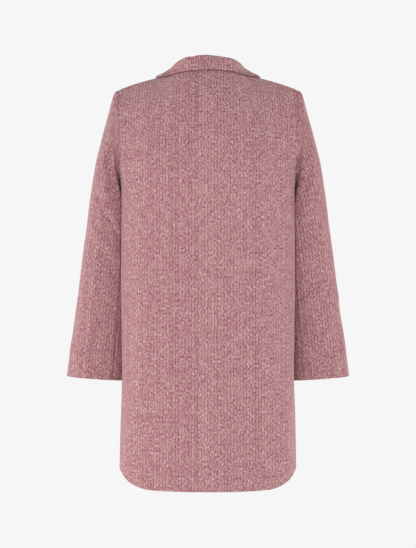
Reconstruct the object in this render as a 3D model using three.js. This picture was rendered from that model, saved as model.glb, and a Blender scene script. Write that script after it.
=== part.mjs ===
// A single-breasted herringbone coat, thigh length, in the hollow form that it has on a wearer.
//
// Millimetres, +Z up. The front faces -Y and the wearer's left is +X. The origin is the middle of the neck
// at the height of the shoulder seams, where the wearer's shoulders carry the coat.
//
// Every cut piece is a wall of cloth on one form. The form has a back and a front sheet, each addressed by
// two numbers: across (0 at the centre or front edge, 1 at the armhole and side seam) and down (0 at the
// shoulder, 1 at the underarm, 2 at the hem). The right half is the left half mirrored.
import * as THREE from "three";
import { mergeVertices } from "three/addons/utils/BufferGeometryUtils.js";

const cloth = 2.4; // one layer of coating
const turned = 4.4; // collar and lapels, two layers sewn and pressed
const seamGap = 0.5; // between neighbouring pieces
const layerGap = 0.6; // between a piece and the one that it lies on

const neck = { half: 79, back: 71 };
const shoulder = { x: 193, y: -2 };
const underarm = { z: -250 };
const hem = { centre: -884, lift: 34, liftFrom: 0.46 };
const closure = { lap: 28, breakZ: -330, gorgeX: 66, gorgeZ: -45, underFrom: 58, underBy: 30 };
const lapel = { tipRollZ: -98, tipOut: 84, notchOut: 44, overhang: 5 };
const button = { across: 27, thick: 4.2, firstZ: -352, pitch: 118, hole: 2.4, holeOut: 3.4, edge: 0.8 };
const sleeveSeams = { back: 120, front: 260 }; // degrees round the sleeve from its outer line
const sleeveClear = 1.6; // between the sleeve and the coat's side

// Half widths and depths of the hanging body, from the underarm to the hem.
const torso = [
  { z: -250, half: 190, back: 129, front: 134 },
  { z: -340, half: 190, back: 124, front: 140 },
  { z: -450, half: 189.5, back: 122, front: 139 },
  { z: -560, half: 188, back: 127, front: 138 },
  { z: -670, half: 187, back: 134, front: 140 },
  { z: -780, half: 190.5, back: 140, front: 143 },
  { z: -884, half: 192.5, back: 145, front: 146 },
];
const squareness = { back: 2.45, front: 2.3 };

// The ridge over the shoulders. Between the side necks it runs on over the neck's opening, which is cut out
// of the back sheet, so that the cloth round the opening is smooth.
const ridge = [
  { x: -40, z: 9 },
  { x: 0, z: 16 },
  { x: 40, z: 9 },
  { x: 79, z: -1.5 },
  { x: 110, z: -8 },
  { x: 141, z: -15.5 },
  { x: 170, z: -24.5 },
  { x: 193, z: -33.5 },
];

// How each column leaves the ridge, and how it arrives at the underarm. A table that starts below 0 does so
// for a smooth centre back.
const backColumns = [
  { across: -0.2, leaveX: -2, leaveY: 76, leaveZ: 30, arriveX: 0, arriveY: 6, arriveZ: 162 },
  { across: 0, leaveX: 0, leaveY: 82, leaveZ: 37, arriveX: 0, arriveY: 6, arriveZ: 175 },
  { across: 0.2, leaveX: 2, leaveY: 76, leaveZ: 30, arriveX: 0, arriveY: 6, arriveZ: 162 },
  { across: 0.32, leaveX: 4, leaveY: 68, leaveZ: 17, arriveX: 0, arriveY: 6, arriveZ: 144 },
  { across: 0.42, leaveX: 6, leaveY: 60, leaveZ: 1, arriveX: 1, arriveY: 5, arriveZ: 120 },
  { across: 0.7, leaveX: 4, leaveY: 54, leaveZ: -24, arriveX: 3, arriveY: 10, arriveZ: 80 },
  { across: 0.86, leaveX: 0, leaveY: 54, leaveZ: -38, arriveX: 3, arriveY: 26, arriveZ: 60 },
  { across: 1, leaveX: -4, leaveY: 58, leaveZ: -56, arriveX: -3, arriveY: 82, arriveZ: 22 },
];
const frontColumns = [
  { across: 0, leaveX: -1, leaveY: -46, leaveZ: -26, arriveX: 28, arriveY: 10, arriveZ: 84 },
  { across: 0.5, leaveX: -6, leaveY: -50, leaveZ: -34, arriveX: 8, arriveY: 2, arriveZ: 84 },
  { across: 0.8, leaveX: -11, leaveY: -52, leaveZ: -46, arriveX: 1, arriveY: -14, arriveZ: 70 },
  { across: 1, leaveX: -15, leaveY: -54, leaveZ: -60, arriveX: -9, arriveY: -86, arriveZ: 22 },
];

// The sleeve from the armhole to the cuff: its outer and inner lines seen from behind, its depth, and how
// square its section is (2 is an ellipse).
const sleeve = [
  { along: 0, outX: 193, outZ: -34, inX: 190, inZ: -250, midY: -2, deep: 62, square: 2 },
  { along: 0.03, outX: 202, outZ: -39, inX: 192.5, inZ: -252, midY: -2, deep: 60, square: 2 },
  { along: 0.07, outX: 209, outZ: -54, inX: 194, inZ: -256, midY: -3, deep: 59, square: 2.3 },
  { along: 0.12, outX: 216, outZ: -80, inX: 194, inZ: -262, midY: -5, deep: 60, square: 2.6 },
  { along: 0.2, outX: 229, outZ: -128, inX: 189.5, inZ: -278, midY: -8, deep: 62, square: 2.6 },
  { along: 0.3, outX: 244, outZ: -192, inX: 185.5, inZ: -308, midY: -13, deep: 66, square: 3 },
  { along: 0.4, outX: 256, outZ: -262, inX: 182, inZ: -348, midY: -21, deep: 69, square: 3.1 },
  { along: 0.51, outX: 267, outZ: -337, inX: 180, inZ: -402, midY: -33, deep: 69, square: 3.1 },
  { along: 0.63, outX: 279, outZ: -417, inX: 179, inZ: -462, midY: -43, deep: 65, square: 3 },
  { along: 0.75, outX: 291, outZ: -502, inX: 181, inZ: -532, midY: -49, deep: 58, square: 2.9 },
  { along: 0.87, outX: 303, outZ: -582, inX: 184, inZ: -602, midY: -53, deep: 51, square: 2.85 },
  { along: 1, outX: 314, outZ: -662, inX: 188, inZ: -672, midY: -56, deep: 44, square: 2.85 },
];

// The collar: "round" is 0 at the centre back, 1 at the shoulder seam and 2 at the gorge. Its stand starts at
// the foot, beside the neckline, and rises and leans in to the roll. The fall goes from the roll to the edge.
const collar = [
  { round: -0.4, footOut: -1.2, footUp: 0.6, rise: 27, lean: 5.5, roll: 5, bulge: 1 },
  { round: 0, footOut: -1.2, footUp: 0.6, rise: 27, lean: 5, roll: 5, bulge: 1.5 },
  { round: 0.4, footOut: -1.2, footUp: 0.6, rise: 27, lean: 5.5, roll: 5, bulge: 1 },
  { round: 0.75, footOut: -1.2, footUp: 0.6, rise: 19.5, lean: 7, roll: 5, bulge: 0 },
  { round: 1, footOut: -1.3, footUp: 0.6, rise: 14.5, lean: 8.5, roll: 4.6, bulge: -3 },
  { round: 1.35, footOut: -1.2, footUp: -0.4, rise: 9, lean: 9, roll: 4, bulge: -1 },
  { round: 1.7, footOut: -0.9, footUp: -1.8, rise: 3, lean: 7, roll: 3.8, bulge: 0.5 },
  { round: 2, footOut: -0.6, footUp: -2.5, rise: 0.6, lean: 5.6, roll: 3.4, bulge: 1 },
];
const collarEdgeBack = [
  { round: -0.3, x: -35.7, y: 70.8, z: -4.7 },
  { round: 0, x: 0, y: 79, z: -3.7 },
  { round: 0.15, x: 18, y: 76.8, z: -4.1 },
  { round: 0.3, x: 35.7, y: 70.8, z: -4.7 },
  { round: 0.45, x: 52.4, y: 61.9, z: -5.1 },
  { round: 0.6, x: 67.3, y: 49.3, z: -6.2 },
  { round: 0.7, x: 75.9, y: 38.4, z: -6.3 },
  { round: 0.8, x: 86.3, y: 25.5, z: -6.8 },
  { round: 0.9, x: 99.4, y: 12.6, z: -6.1 },
  { round: 1, x: 112.4, y: -1, z: -5.3 },
];
const collarEdgeFront = [
  { round: 1, out: 34 },
  { round: 1.4, out: 48 },
  { round: 2, out: 62 },
];

const aboveUnderarm = [0, 1, 2, 3, 4, 5, 6, 7, 8, 9].map((i) => i / 9);
const belowUnderarm = [-290, -330, -390, -460, -540, -620, -700, -780, -836, hem.centre];
const downOf = (z) => 1 + (z - underarm.z) / (hem.centre - underarm.z);
const downs = [...aboveUnderarm, ...belowUnderarm.map(downOf)];

const vec = (x, y, z) => new THREE.Vector3(x, y, z);
const mix = THREE.MathUtils.lerp;
const ease = (t) => THREE.MathUtils.smoothstep(t, 0, 1);
const mirrored = (p) => vec(-p.x, p.y, p.z);
const squared = (value, square) => Math.sign(value) * Math.abs(value) ** (2 / square);
const steps = (count, from = 0, to = 1) =>
  Array.from({ length: count + 1 }, (_, i) => mix(from, to, i / count));

// One column of a table, smoothly between its rows.
function read(table, key, at, column) {
  const last = table.length - 1;
  const rising = table[last][key] > table[0][key];
  const past = table.findIndex((row) => (rising ? row[key] >= at : row[key] <= at));
  const i = THREE.MathUtils.clamp(past < 0 ? last : past, 1, last) - 1;
  const slope = (k) => {
    const [a, b] = [table[Math.max(k - 1, 0)], table[Math.min(k + 1, last)]];
    return (b[column] - a[column]) / (b[key] - a[key]);
  };
  const [a, b] = [table[i], table[i + 1]];
  const span = b[key] - a[key];
  const t = THREE.MathUtils.clamp((at - a[key]) / span, 0, 1);
  const [t2, t3] = [t * t, t * t * t];
  const ends = a[column] * (2 * t3 - 3 * t2 + 1) + b[column] * (3 * t2 - 2 * t3);
  return ends + span * (slope(i) * (t3 - 2 * t2 + t) + slope(i + 1) * (t3 - t2));
}

function bezier(a, b, c, d, t) {
  const s = 1 - t;
  const sum = a.clone().multiplyScalar(s * s * s).addScaledVector(b, 3 * s * s * t);
  return sum.addScaledVector(c, 3 * s * t * t).addScaledVector(d, t * t * t);
}

// The point a given distance along a polyline, which runs on straight past its ends.
function along(line, distance) {
  let left = distance;
  for (let i = 1; i < line.length; i++) {
    const length = line[i].distanceTo(line[i - 1]);
    if (left <= length || i === line.length - 1)
      return line[i - 1].clone().lerp(line[i], left / length);
    left -= length;
  }
}

const lengthOf = (line) => line.slice(1).reduce((sum, p, i) => sum + p.distanceTo(line[i]), 0);

// Where the front edge is: straight below the break, and above it the line on which the lapel rolls.
function frontEdgeX(z) {
  const slope = (closure.gorgeX + closure.lap) / (closure.gorgeZ - closure.breakZ);
  return -closure.lap + Math.max(0, z - closure.breakZ) * slope;
}

// The body's outline at one height, from the centre or front edge to the side seam.
function torsoLine(z, sheet) {
  const half = read(torso, "z", z, "half");
  const deep = read(torso, "z", z, sheet) * (sheet === "back" ? 1 : -1);
  const power = 2 / squareness[sheet];
  const start = sheet === "back" ? 0 : frontEdgeX(z) / half;
  const first = Math.sign(start) * Math.asin(Math.abs(start) ** (1 / power));
  return steps(60, first, Math.PI / 2).map((a) => {
    const x = half * Math.sign(a) * Math.abs(Math.sin(a)) ** power;
    return vec(x, shoulder.y + deep * Math.abs(Math.cos(a)) ** power, z);
  });
}

// The line that the columns start from: the ridge for the back, and its shoulder part for the front.
function topLine(sheet) {
  const overNeck = sheet === "back" ? steps(16, 0, neck.half).slice(0, -1) : [];
  const xs = [...overNeck, ...steps(32, neck.half, shoulder.x)];
  return xs.map((x) => vec(x, shoulder.y, read(ridge, "x", x, "z")));
}

const sheets = {
  back: { columns: backColumns, top: topLine("back"), chest: torsoLine(underarm.z, "back") },
  front: { columns: frontColumns, top: topLine("front"), chest: torsoLine(underarm.z, "front") },
};
for (const sheet of Object.values(sheets)) {
  sheet.topLength = lengthOf(sheet.top);
  sheet.chestLength = lengthOf(sheet.chest);
}

// How much the under front gives way to the upper one that laps over it.
const underlap = (x) => (cloth + layerGap) * ease((closure.underFrom - x) / closure.underBy);

// Where a column comes out of the neck's opening, which is an ellipse seen from above.
function neckDown(column) {
  const inside = (p) => (p.x / neck.half) ** 2 + ((p.y - shoulder.y) / (neck.back - shoulder.y)) ** 2 < 1;
  if (!inside(column(0.001))) return 0;
  let [low, high] = [0, 1];
  for (let i = 0; i < 24; i++) {
    const middle = (low + high) / 2;
    if (inside(column(middle))) low = middle;
    else high = middle;
  }
  return low;
}

function yokePoint(name, across, down) {
  const sheet = sheets[name];
  const start = along(sheet.top, across * sheet.topLength);
  const end = along(sheet.chest, across * sheet.chestLength);
  const [leave, arrive] = ["leave", "arrive"].map((way) =>
    vec(...["X", "Y", "Z"].map((axis) => read(sheet.columns, "across", across, way + axis))),
  );
  const column = (t) => bezier(start, start.clone().add(leave), end.clone().add(arrive), end, t);
  return column(name === "back" ? down + neckDown(column) * (1 - down) ** 2 : down);
}

function formPoint(name, across, down, under = false) {
  let p;
  if (down <= 1) {
    p = yokePoint(name, across, down);
  } else {
    const bottom = hem.centre + hem.lift * ease((across - hem.liftFrom) / (1 - hem.liftFrom));
    const line = torsoLine(mix(underarm.z, bottom, down - 1), name);
    p = along(line, across * lengthOf(line));
  }
  if (under) p.y += underlap(p.x) * ease((down - 0.6) / 0.3);
  return p;
}

function formNormal(name, across, down, under = false) {
  const step = 0.004;
  const [a, b] = [Math.max(across - step, 0), Math.min(across + step, 1)];
  const [c, d] = [Math.max(down - step, 0), Math.min(down + step, 2)];
  const acrossWay = formPoint(name, b, down, under).sub(formPoint(name, a, down, under));
  const downWay = formPoint(name, across, d, under).sub(formPoint(name, across, c, under));
  const normal = name === "back" ? acrossWay.cross(downWay) : downWay.cross(acrossWay);
  return normal.normalize();
}

// A point of the front, found by its distance out from the front edge, and lifted off the cloth.
function onFront(down, out, lift, under) {
  const line = steps(40).map((across) => formPoint("front", across, down, under));
  const across = out / lengthOf(line);
  const normal = formNormal("front", THREE.MathUtils.clamp(across, 0, 1), down, under);
  return along(line, out).addScaledVector(normal, lift);
}

// The down value at which the front edge passes a height.
function downAt(z) {
  if (z < underarm.z) return downOf(z);
  let [low, high] = [0, 1];
  for (let i = 0; i < 30; i++) {
    const middle = (low + high) / 2;
    if (formPoint("front", 0, middle).z > z) low = middle;
    else high = middle;
  }
  return low;
}

const armhole = (degrees) =>
  degrees <= 180 ? formPoint("back", 1, degrees / 180) : formPoint("front", 1, (360 - degrees) / 180);

// Keeps a point of the sleeve just outside the coat's side, where the two lie against each other.
function clearOfBody(p, gap) {
  if (p.z > underarm.z + 4) return p;
  const deep = read(torso, "z", p.z, p.y > shoulder.y ? "back" : "front") + gap;
  const power = p.y > shoulder.y ? squareness.back : squareness.front;
  const share = Math.min(1, Math.abs(p.y - shoulder.y) / deep);
  const side = (read(torso, "z", p.z, "half") + gap) * (1 - share ** power) ** (1 / power);
  p.x = Math.max(p.x, side);
  return p;
}

function sleevePoint(degrees, at) {
  const section = (k) => {
    const row = (column) => read(sleeve, "along", k, column);
    const [outer, inner] = [vec(row("outX"), 0, row("outZ")), vec(row("inX"), 0, row("inZ"))];
    const turn = THREE.MathUtils.degToRad(degrees);
    const p = outer.clone().lerp(inner, (1 - squared(Math.cos(turn), row("square"))) / 2);
    p.y = row("midY") + row("deep") * squared(Math.sin(turn), row("square"));
    return p;
  };
  const wrapped = ((degrees % 360) + 360) % 360;
  const seamShape = armhole(wrapped).sub(section(0));
  const p = section(at).addScaledVector(seamShape, 1 - ease(at / 0.35));
  return clearOfBody(p, Math.min(sleeveClear, seamGap + at * 30));
}

// A grid of points is rows of equal length. "facing" is 1 or -1, so that its normals point outwards.
function gridNormals(grid, facing) {
  const [rows, columns] = [grid.length, grid[0].length];
  const inside = (k, count) => THREE.MathUtils.clamp(k, 0, count - 1);
  const at = (i, j) => grid[inside(i, rows)][inside(j, columns)];
  return grid.map((row, i) =>
    row.map((_, j) => {
      const acrossWay = at(i, j + 1).clone().sub(at(i, j - 1));
      const downWay = at(i + 1, j).clone().sub(at(i - 1, j));
      return acrossWay.cross(downWay).normalize().multiplyScalar(facing);
    }),
  );
}

const keyOf = (p) => [p.x, p.y, p.z].map((c) => Math.round(c * 50)).join();

// Pieces that meet at a seam share one normal there, so their walls meet without crossing. Where they are
// folded back on each other, as at the underarm, each keeps its own.
function shareNormals(pieces) {
  const sums = new Map();
  for (const { grid, normals } of pieces)
    grid.forEach((row, i) =>
      row.forEach((p, j) => {
        const key = keyOf(p);
        sums.set(key, (sums.get(key) ?? vec(0, 0, 0)).add(normals[i][j]));
      }),
    );
  for (const piece of pieces)
    piece.normals = piece.grid.map((row, i) =>
      row.map((p, j) => {
        const sum = sums.get(keyOf(p)).clone();
        const own = piece.normals[i][j];
        if (sum.length() > 1.3) return sum.normalize();
        p.addScaledVector(own, -seamGap / 2);
        return own;
      }),
    );
}

// Draws the border of a grid in by half a seam gap, square to each edge and to the normal there.
function drawnIn(grid, normals, by) {
  const [rows, columns] = [grid.length, grid[0].length];
  return grid.map((row, i) =>
    row.map((p, j) => {
      const moved = p.clone();
      const pull = (neighbour, before, after) => {
        const square = after.clone().sub(before).cross(normals[i][j]).normalize();
        const inward = Math.sign(neighbour.clone().sub(p).dot(square));
        moved.addScaledVector(square, inward * by);
      };
      if (i === 0) pull(grid[1][j], row[Math.max(j - 1, 0)], row[Math.min(j + 1, columns - 1)]);
      if (i === rows - 1) pull(grid[rows - 2][j], row[Math.max(j - 1, 0)], row[Math.min(j + 1, columns - 1)]);
      if (j === 0) pull(row[1], grid[Math.max(i - 1, 0)][0], grid[Math.min(i + 1, rows - 1)][0]);
      if (j === columns - 1)
        pull(row[j - 1], grid[Math.max(i - 1, 0)][j], grid[Math.min(i + 1, rows - 1)][j]);
      return moved;
    }),
  );
}

// A closed wall on a grid, from "outer" outside it to "inner" inside it. The columns before "half" mirror the
// rest, and so do their triangles.
function wall(grid, normals, outer, inner, half = 0) {
  const [rows, columns] = [grid.length, grid[0].length];
  const side = (offset) =>
    grid.flatMap((row, i) => row.map((p, j) => p.clone().addScaledVector(normals[i][j], offset)));
  const points = [...side(outer), ...side(-inner)];
  const index = (i, j, layer) => layer * rows * columns + i * columns + j;
  const faces = [];
  const quad = (a, b, c, d, flip = false) => faces.push(...(flip ? [a, b, d, b, c, d] : [a, b, c, a, c, d]));
  for (let i = 0; i < rows - 1; i++)
    for (let j = 0; j < columns - 1; j++) {
      quad(index(i, j, 0), index(i, j + 1, 0), index(i + 1, j + 1, 0), index(i + 1, j, 0), j < half);
      quad(index(i, j, 1), index(i + 1, j, 1), index(i + 1, j + 1, 1), index(i, j + 1, 1), j < half);
    }
  for (let j = 0; j < columns - 1; j++) {
    quad(index(0, j, 1), index(0, j + 1, 1), index(0, j + 1, 0), index(0, j, 0));
    const last = rows - 1;
    quad(index(last, j, 0), index(last, j + 1, 0), index(last, j + 1, 1), index(last, j, 1));
  }
  for (let i = 0; i < rows - 1; i++) {
    quad(index(i, 0, 0), index(i + 1, 0, 0), index(i + 1, 0, 1), index(i, 0, 1), half > 0);
    const last = columns - 1;
    quad(index(i, last, 1), index(i + 1, last, 1), index(i + 1, last, 0), index(i, last, 0));
  }
  const geometry = new THREE.BufferGeometry().setFromPoints(points).setIndex(faces);
  const [a, b, c] = [points[faces[0]], points[faces[1]], points[faces[2]]];
  const facing = b.clone().sub(a).cross(c.clone().sub(a)).dot(normals[0][0]);
  if (facing < 0)
    for (let k = 0; k < faces.length; k += 3) [faces[k + 1], faces[k + 2]] = [faces[k + 2], faces[k + 1]];
  return mergeVertices(geometry.setIndex(faces), 1e-4);
}

const coat = new THREE.Group();
const herringbone = new THREE.MeshStandardMaterial({ color: 0xb7888c, roughness: 0.95, metalness: 0 });
const horn = new THREE.MeshStandardMaterial({ color: 0x5b2a35, roughness: 0.35, metalness: 0 });

function addPiece(name, geometry, material = herringbone) {
  const mesh = new THREE.Mesh(geometry, material);
  mesh.name = name;
  coat.add(mesh);
}

const bothSides = [
  { side: "left", place: (p) => p, facing: 1 },
  { side: "right", place: mirrored, facing: -1 },
];

// Body: one back and two fronts. The right front laps over the left one.
const corner = 1 - sheets.front.topLength / sheets.back.topLength; // where the neckline meets the shoulder
const roundNeck = (round) => corner * Math.sin((round * Math.PI) / 2);
const acrossNeck = [0, 0.28, 0.52, 0.74, 0.9].map((share) => share * corner);
const acrossHalf = [...acrossNeck, ...steps(8, corner, 1)];
const acrossBack = [...acrossHalf.slice(1).map((across) => -across).reverse(), ...acrossHalf];
const acrossFront = steps(8);
const backGrid = downs.map((down) =>
  acrossBack.map((across) => {
    const p = formPoint("back", Math.abs(across), down);
    return across < 0 ? mirrored(p) : p;
  }),
);
const pieces = { back: { grid: backGrid, normals: gridNormals(backGrid, 1) } };
for (const { side, place, facing } of bothSides) {
  const under = side === "left";
  const row = (down) => acrossFront.map((across) => place(formPoint("front", across, down, under)));
  const grid = downs.map(row);
  pieces[`front_${side}`] = { grid, normals: gridNormals(grid, -facing) };
}

// Sleeves: a top sleeve and an under sleeve each.
const alongSleeve = sleeve.map((row) => row.along);
const topTurns = steps(11, sleeveSeams.front - 360, sleeveSeams.back);
const underTurns = steps(7, sleeveSeams.back, sleeveSeams.front);
for (const { side, place, facing } of bothSides)
  for (const [part, turns] of [["top", topTurns], ["under", underTurns]]) {
    const grid = alongSleeve.map((at) => turns.map((turn) => place(sleevePoint(turn, at))));
    pieces[`sleeve_${part}_${side}`] = { grid, normals: gridNormals(grid, -facing) };
  }

shareNormals(Object.values(pieces));
for (const [name, { grid, normals }] of Object.entries(pieces)) {
  const half = name === "back" ? acrossHalf.length - 1 : 0;
  addPiece(name, wall(drawnIn(grid, normals, seamGap / 2), normals, 0, cloth, half));
}

// Lapels: each lies on its front, made from the front's own points. The left one starts where the right
// front stops covering it.
function lapelGrid(under) {
  const topZ = closure.gorgeZ;
  const covered = (z) => (under ? 2 - 2 * frontEdgeX(z) : -Infinity);
  const startZ = under ? -268 : closure.breakZ + 4;
  const rows = [...steps(9, startZ, lapel.tipRollZ), ...steps(3, lapel.tipRollZ, topZ).slice(1)];
  return rows.map((z) => {
    const up = (z - closure.breakZ) / (lapel.tipRollZ - closure.breakZ);
    const topped = Math.max(0, (z - lapel.tipRollZ) / (topZ - lapel.tipRollZ));
    const reach = up < 1 ? lapel.tipOut * up ** 0.92 : mix(lapel.tipOut, lapel.notchOut, topped);
    const overhang = lapel.overhang * ease((z - closure.breakZ) / 120);
    const from = Math.max(covered(z) + lapel.overhang, -overhang);
    return steps(5).map((t) =>
      onFront(downAt(z), mix(from, Math.max(reach, from + 3), t), turned / 2 + layerGap, under),
    );
  });
}
for (const { side, place, facing } of bothSides) {
  const grid = lapelGrid(side === "left").map((row) => row.map(place));
  const normals = gridNormals(grid, facing);
  const drawn = drawnIn(grid, normals, seamGap / 2);
  addPiece(`lapel_${side}`, wall(drawn, normals, turned / 2, turned / 2));
}

// Collar: sections from one end round the neck to the other, each from the foot over the roll to the edge.
function collarSection(round) {
  const row = (column) => read(collar, "round", round, column);
  const [onBack, down] = [round <= 1, round <= 1 ? 0 : downAt(mix(-1, closure.gorgeZ, round - 1))];
  const [name, across] = onBack ? ["back", roundNeck(round)] : ["front", 0];
  const base = formPoint(name, across, down);
  const outward = vec(1, 0, 0);
  const upward = vec(0, 0, 1);
  if (onBack) {
    const turn = (round * Math.PI) / 2;
    outward.set(Math.sin(turn) / neck.half, Math.cos(turn) / (neck.back - shoulder.y), 0).normalize();
  } else {
    outward.copy(formPoint(name, 0.08, down)).sub(base).normalize();
    upward.lerp(formNormal(name, 0, down), ease((round - 1) / 0.6));
    upward.addScaledVector(outward, -upward.dot(outward)).normalize();
  }
  const at = (out, up) => base.clone().addScaledVector(outward, out).addScaledVector(upward, up);
  const tilt = Math.atan2(row("lean"), row("rise"));
  const way = (out, up, by) => at(out, up).sub(base).multiplyScalar(by);
  const standWay = (by) => way(-Math.sin(tilt), Math.cos(tilt), by);
  const rollWay = (by) => way(Math.cos(tilt), Math.sin(tilt), by);
  const foot = at(row("footOut"), row("footUp"));
  const top = at(-row("lean"), row("rise"));
  const edge = onBack
    ? vec(...["x", "y", "z"].map((axis) => read(collarEdgeBack, "round", round, axis)))
    : onFront(down, read(collarEdgeFront, "round", round, "out"), turned / 2 + 2 * layerGap, false);
  const standEnd = top.clone().sub(rollWay(row("roll")));
  const fallStart = top.clone().add(rollWay(row("roll")));
  const fallEnd = edge.clone().lerp(top, 0.35).addScaledVector(upward, row("bulge"));
  const rising = foot.clone().add(standWay(foot.distanceTo(top) * 0.4));
  return [
    ...steps(4).map((t) => bezier(foot, rising, standEnd, top, t)),
    ...steps(6).slice(1).map((t) => bezier(top, fallStart, fallEnd, edge, t)),
  ];
}
const rounds = [...steps(5), ...steps(4, 1, 2).slice(1)];
const collarHalf = rounds.map(collarSection);
const collarOther = collarHalf.slice(1).reverse().map((section) => section.map(mirrored));
const collarGrid = [...collarOther, ...collarHalf];
const collarNormals = gridNormals(collarGrid, 1);
const collarDrawn = drawnIn(collarGrid, collarNormals, seamGap / 2);
addPiece("collar", wall(collarDrawn, collarNormals, turned / 2, turned / 2));

// Buttons: flat discs with four holes, on the right front's centre line.
function buttonShape() {
  const radius = button.across / 2 - button.edge;
  const shape = new THREE.Shape().absarc(0, 0, radius, 0, Math.PI * 2);
  for (const [x, y] of [[1, 1], [-1, 1], [-1, -1], [1, -1]]) {
    const [centreX, centreY] = [x, y].map((way) => (way * button.holeOut) / Math.SQRT2);
    const rim = steps(8, 0, 2 * Math.PI).slice(1);
    const onRim = (a) => new THREE.Vector2(Math.cos(a), Math.sin(a)).multiplyScalar(button.hole / 2);
    const points = rim.map(onRim);
    shape.holes.push(new THREE.Path(points.map((point) => point.add({ x: centreX, y: centreY }))));
  }
  const depth = button.thick - 2 * button.edge;
  const bevel = { bevelThickness: button.edge, bevelSize: button.edge, bevelOffset: 0, bevelSegments: 2 };
  const geometry = new THREE.ExtrudeGeometry(shape, { depth, curveSegments: 12, ...bevel });
  geometry.translate(0, 0, -depth / 2);
  geometry.deleteAttribute("normal");
  geometry.deleteAttribute("uv");
  return mergeVertices(geometry, 1e-4);
}
["top", "middle", "low"].forEach((place, i) => {
  const down = downAt(button.firstZ - i * button.pitch);
  const seat = mirrored(onFront(down, closure.lap, layerGap + button.thick / 2, false));
  const facing = mirrored(formNormal("front", closure.lap / 240, down));
  const turn = new THREE.Quaternion().setFromUnitVectors(vec(0, 0, 1), facing);
  const geometry = buttonShape().applyQuaternion(turn).translate(seat.x, seat.y, seat.z);
  addPiece(`button_${place}`, geometry, horn);
});

export default coat;
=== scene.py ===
import math
import bpy
import numpy as np
from mathutils import Matrix, Vector


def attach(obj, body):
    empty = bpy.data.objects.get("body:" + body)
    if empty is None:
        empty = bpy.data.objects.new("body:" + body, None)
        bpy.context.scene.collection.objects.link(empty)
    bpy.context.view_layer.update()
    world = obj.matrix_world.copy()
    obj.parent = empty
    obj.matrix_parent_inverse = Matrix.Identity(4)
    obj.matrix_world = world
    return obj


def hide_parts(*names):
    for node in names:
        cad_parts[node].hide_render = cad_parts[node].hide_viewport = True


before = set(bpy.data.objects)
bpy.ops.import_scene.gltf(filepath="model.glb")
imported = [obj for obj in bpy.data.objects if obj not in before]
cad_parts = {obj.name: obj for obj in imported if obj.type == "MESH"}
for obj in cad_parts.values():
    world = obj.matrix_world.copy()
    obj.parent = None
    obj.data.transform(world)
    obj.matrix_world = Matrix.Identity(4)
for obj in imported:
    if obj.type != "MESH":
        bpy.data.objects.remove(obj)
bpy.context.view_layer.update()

# Herringbone coat, filled out as it hangs on a wearer. Lengths are millimetres until a mesh is made, and
# metres in the weave and the studio. +z is up, the front faces -y and the wearer's left is +x.
# A body sheet is addressed by across (0 centre or front edge, 1 armhole and side seam) and down
# (0 shoulder, 1 underarm, 2 hem).
clothMm = 2.4
turnedMm = 4.4  # collar and lapels: two layers, sewn and pressed
layerMm = 0.6  # air between layers that lie on each other
seamGap = 0.12  # from each sewn edge to the seam's middle


def table(names, *rows):
    values = np.array(rows, float)
    return {name: values[:, i] for i, name in enumerate(names.split())}


def read(data, key, at, column):
    # one column of a table, smoothly between its rows
    keys, values = data[key], data[column]
    if keys[0] > keys[-1]:
        keys, values = keys[::-1], values[::-1]
    places = np.arange(len(keys))
    before, after = np.maximum(places - 1, 0), np.minimum(places + 1, len(keys) - 1)
    slopes = (values[after] - values[before]) / (keys[after] - keys[before])
    i = np.clip(np.searchsorted(keys, at), 1, len(keys) - 1) - 1
    span = keys[i + 1] - keys[i]
    t = np.clip((at - keys[i]) / span, 0, 1)
    ends = values[i] * (2 * t**3 - 3 * t**2 + 1) + values[i + 1] * (3 * t**2 - 2 * t**3)
    return ends + span * (slopes[i] * (t**3 - 2 * t**2 + t) + slopes[i + 1] * (t**3 - t**2))


def ease(t):
    t = np.clip(t, 0, 1)
    return t * t * (3 - 2 * t)


def over(values, begin, length):
    # 0 before the beginning, rising softly to 1 a length further on
    return ease((values - begin) / length)


def bulge(values, at, wide):
    # 1 at one value, falling softly away to both sides
    return np.exp(-(((values - at) / wide) ** 2))


def mix(a, b, t):
    return a + (b - a) * t


def unit(v):
    return v / np.maximum(np.linalg.norm(v, axis=-1, keepdims=True), 1e-9)


def lengths(lines):
    # distance along each line of points, the points being the axis before the last
    steps = np.linalg.norm(np.diff(lines, axis=-2), axis=-1)
    return np.concatenate([np.zeros(steps.shape[:-1] + (1,)), np.cumsum(steps, axis=-1)], axis=-1)


def atDistance(line, where):
    # points of one line at distances along it, running on straight past its ends
    far = lengths(line)
    points = np.stack([np.interp(where, far, line[:, k]) for k in range(3)], axis=-1)
    startWay, endWay = unit(line[1] - line[0]), unit(line[-1] - line[-2])
    points += np.minimum(where, 0)[..., None] * startWay
    return points + np.maximum(where - far[-1], 0)[..., None] * endWay


def bezier(a, b, c, d, t):
    s = 1 - t
    return a * s**3 + b * (3 * s * s * t) + c * (3 * s * t * t) + d * t**3


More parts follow.
